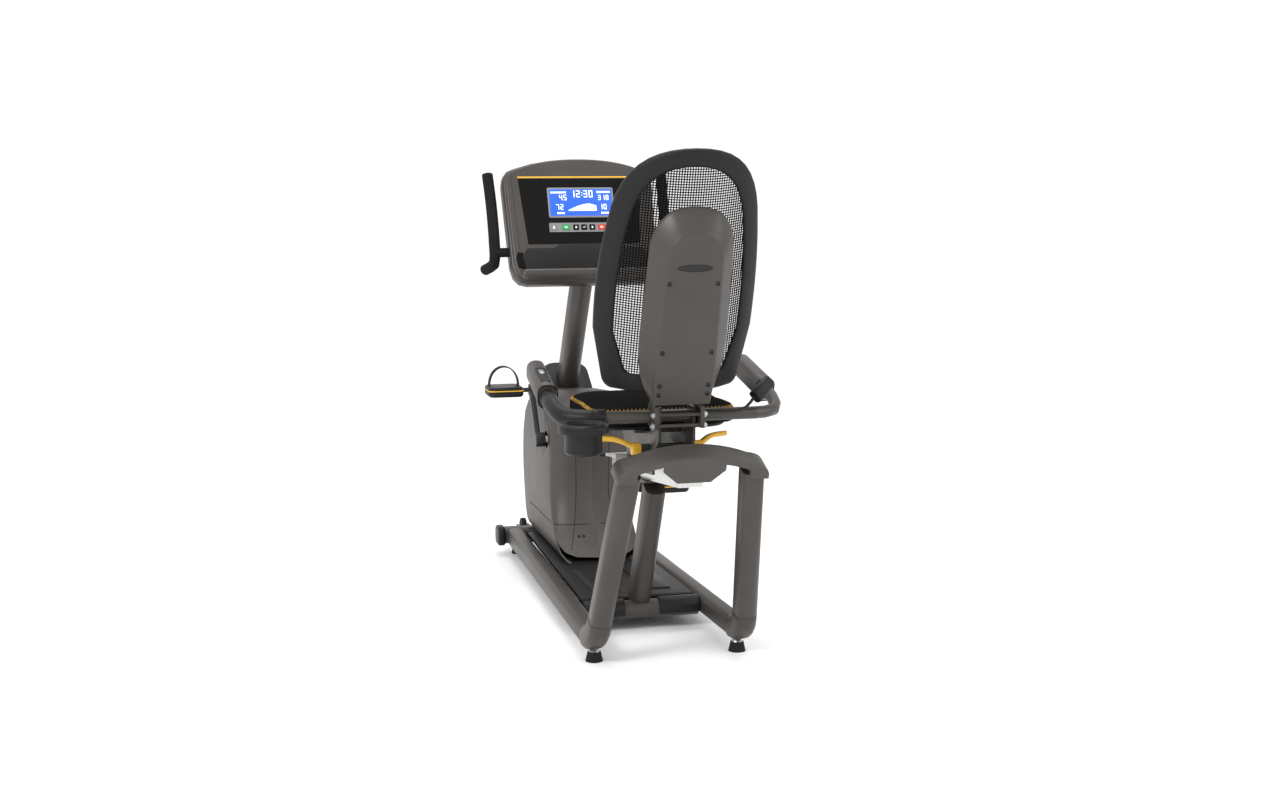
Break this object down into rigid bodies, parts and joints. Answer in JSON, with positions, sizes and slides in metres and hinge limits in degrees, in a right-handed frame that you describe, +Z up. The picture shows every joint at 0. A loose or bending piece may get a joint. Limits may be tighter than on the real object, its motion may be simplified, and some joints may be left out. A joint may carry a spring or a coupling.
{
  "type": "recumbent exercise bike",
  "caption": "Stationary recumbent exercise bike with a sliding mesh-back seat, side arms, cup holder, shrouded belt drive, pedals and a console on a leaning mast.",
  "frame": {"origin": "on the floor under the middle of the machine's box", "axes": "+Z up, the rider faces -Y, +X is the rider's left"},
  "size_m": [0.6302, 1.6521, 1.2999],
  "materials": {
    "bronze_paint": "satin",
    "black_plastic": "matte",
    "aluminium": "satin",
    "steel": "satin",
    "black_rubber": "matte",
    "display_glass": "gloss",
    "black_foam": "matte",
    "black_metal": "satin",
    "black_fabric": "matte",
    "black_mesh": "matte",
    "yellow_plastic": "satin",
    "grey_plastic": "satin",
    "green_plastic": "satin",
    "red_plastic": "satin"
  },
  "bodies": {
    "frame": {"side_rail_left": "bronze_paint", "side_rail_right": "bronze_paint", "rear_elbow_left": "bronze_paint", "rear_elbow_right": "bronze_paint", "rear_leg_left": "bronze_paint", "rear_leg_right": "bronze_paint", "front_cross_tube": "bronze_paint", "end_cap_left": "black_plastic", "end_cap_right": "black_plastic", "rear_cross_tube": "bronze_paint", "centre_post": "bronze_paint", "arch_cover": "bronze_paint", "footplate_tray": "black_plastic", "seat_rail": "aluminium", "shroud_left": "bronze_paint", "shroud_right": "bronze_paint", "mast_collar": "black_plastic", "mast": "bronze_paint", "drive_bracket": "steel", "drive_belt": "black_rubber", "console_shell": "bronze_paint", "console_bezel": "bronze_paint", "display_window": "display_glass", "handlebar": "black_foam"},
    "crank": {"crank_pulley": "steel", "crank_arm_left": "black_metal", "crank_arm_right": "black_metal"},
    "left_pedal": {"pedal_left": "black_plastic", "pedal_strap_left": "black_rubber"},
    "right_pedal": {"pedal_right": "black_plastic", "pedal_strap_right": "black_rubber"},
    "flywheel": {"flywheel": "steel"},
    "seat": {"seat_carriage": "bronze_paint", "seat_pan": "black_plastic", "seat_cushion": "black_fabric", "arm_tube": "bronze_paint", "grip_left": "bronze_paint", "grip_right": "bronze_paint", "cup_holder": "black_plastic"},
    "seat_back": {"back_bracket": "bronze_paint", "back_frame": "black_plastic", "back_mesh": "black_mesh", "back_cover": "bronze_paint"},
    "position_levers": {"lever_shaft": "black_metal", "position_lever_left": "yellow_plastic", "position_lever_right": "yellow_plastic"},
    "recline_lever": {"recline_lever": "black_plastic"},
    "grip_key": {"grip_key": "yellow_plastic"},
    "left_wheel": {"transport_wheel_left": "black_rubber"},
    "right_wheel": {"transport_wheel_right": "black_rubber"},
    "rear_left_foot": {"rear_foot_left": "black_rubber"},
    "rear_right_foot": {"rear_foot_right": "black_rubber"},
    "front_left_foot": {"front_foot_left": "black_rubber"},
    "front_right_foot": {"front_foot_right": "black_rubber"},
    "profile_key": {"profile_key": "grey_plastic"},
    "start_key": {"start_key": "green_plastic"},
    "down_key": {"down_key": "black_plastic"},
    "enter_key": {"enter_key": "black_plastic"},
    "up_key": {"up_key": "black_plastic"},
    "stop_key": {"stop_key": "red_plastic"}
  },
  "joints": [
    {"name": "flywheel_spin", "type": "hinge", "parent": "frame", "child": "flywheel", "pos_m": [-0.048, -0.6, 0.292], "axis": [1, 0, 0], "continuous": true},
    {"name": "crank_spin", "type": "hinge", "parent": "frame", "child": "crank", "pos_m": [0, -0.39, 0.425], "axis": [1, 0, 0], "continuous": true},
    {"name": "left_pedal_spin", "type": "hinge", "parent": "crank", "child": "left_pedal", "pos_m": [0.235, -0.4858, 0.56544], "axis": [1, 0, 0], "continuous": true},
    {"name": "right_pedal_spin", "type": "hinge", "parent": "crank", "child": "right_pedal", "pos_m": [-0.235, -0.2942, 0.28456], "axis": [1, 0, 0], "continuous": true},
    {"name": "seat_slide", "type": "slide", "parent": "frame", "child": "seat", "axis": [0, 0.994, 0.1097], "range_m": [-0.18, 0.04]},
    {"name": "back_recline", "type": "hinge", "parent": "seat", "child": "seat_back", "pos_m": [0, 0.608, 0.637], "axis": [-1, 0, 0], "range_deg": [-5, 12]},
    {"name": "position_lever_pull", "type": "hinge", "parent": "seat", "child": "position_levers", "pos_m": [0, 0.536, 0.545], "axis": [1, 0, 0], "range_deg": [-18, 0], "stiffness_Nm_per_rad": 6},
    {"name": "recline_lever_pull", "type": "hinge", "parent": "seat_back", "child": "recline_lever", "pos_m": [-0.1, 0.646, 0.652], "axis": [1, 0, 0], "range_deg": [-18, 0], "stiffness_Nm_per_rad": 3},
    {"name": "profile_key_press", "type": "slide", "parent": "frame", "child": "profile_key", "axis": [0, -0.9272, -0.3746], "range_m": [0, 0.0011], "stiffness_N_per_m": 600},
    {"name": "start_key_press", "type": "slide", "parent": "frame", "child": "start_key", "axis": [0, -0.9272, -0.3746], "range_m": [0, 0.0011], "stiffness_N_per_m": 600},
    {"name": "down_key_press", "type": "slide", "parent": "frame", "child": "down_key", "axis": [0, -0.9272, -0.3746], "range_m": [0, 0.0011], "stiffness_N_per_m": 600},
    {"name": "enter_key_press", "type": "slide", "parent": "frame", "child": "enter_key", "axis": [0, -0.9272, -0.3746], "range_m": [0, 0.0011], "stiffness_N_per_m": 600},
    {"name": "up_key_press", "type": "slide", "parent": "frame", "child": "up_key", "axis": [0, -0.9272, -0.3746], "range_m": [0, 0.0011], "stiffness_N_per_m": 600},
    {"name": "stop_key_press", "type": "slide", "parent": "frame", "child": "stop_key", "axis": [0, -0.9272, -0.3746], "range_m": [0, 0.0011], "stiffness_N_per_m": 600},
    {"name": "grip_key_press", "type": "slide", "parent": "seat", "child": "grip_key", "axis": [0.027, 0.9694, -0.2441], "range_m": [0, 0.001], "stiffness_N_per_m": 600},
    {"name": "left_wheel_spin", "type": "hinge", "parent": "frame", "child": "left_wheel", "pos_m": [0.12, -0.799, 0.066], "axis": [1, 0, 0], "continuous": true},
    {"name": "right_wheel_spin", "type": "hinge", "parent": "frame", "child": "right_wheel", "pos_m": [-0.12, -0.799, 0.066], "axis": [1, 0, 0], "continuous": true},
    {"name": "rear_left_foot_turn", "type": "hinge", "parent": "frame", "child": "rear_left_foot", "pos_m": [0.191, 0.537, 0.02], "axis": [0, 0, 1], "range_deg": [-360, 360]},
    {"name": "front_left_foot_turn", "type": "hinge", "parent": "frame", "child": "front_left_foot", "pos_m": [0.15, -0.728, 0.02], "axis": [0, 0, 1], "range_deg": [-360, 360]},
    {"name": "rear_right_foot_turn", "type": "hinge", "parent": "frame", "child": "rear_right_foot", "pos_m": [-0.191, 0.537, 0.02], "axis": [0, 0, 1], "range_deg": [-360, 360]},
    {"name": "front_right_foot_turn", "type": "hinge", "parent": "frame", "child": "front_right_foot", "pos_m": [-0.15, -0.728, 0.02], "axis": [0, 0, 1], "range_deg": [-360, 360]}
  ],
  "couplings": [
    {"joint": "crank_spin", "follows": "flywheel_spin", "ratio": 0.33784}
  ]
}
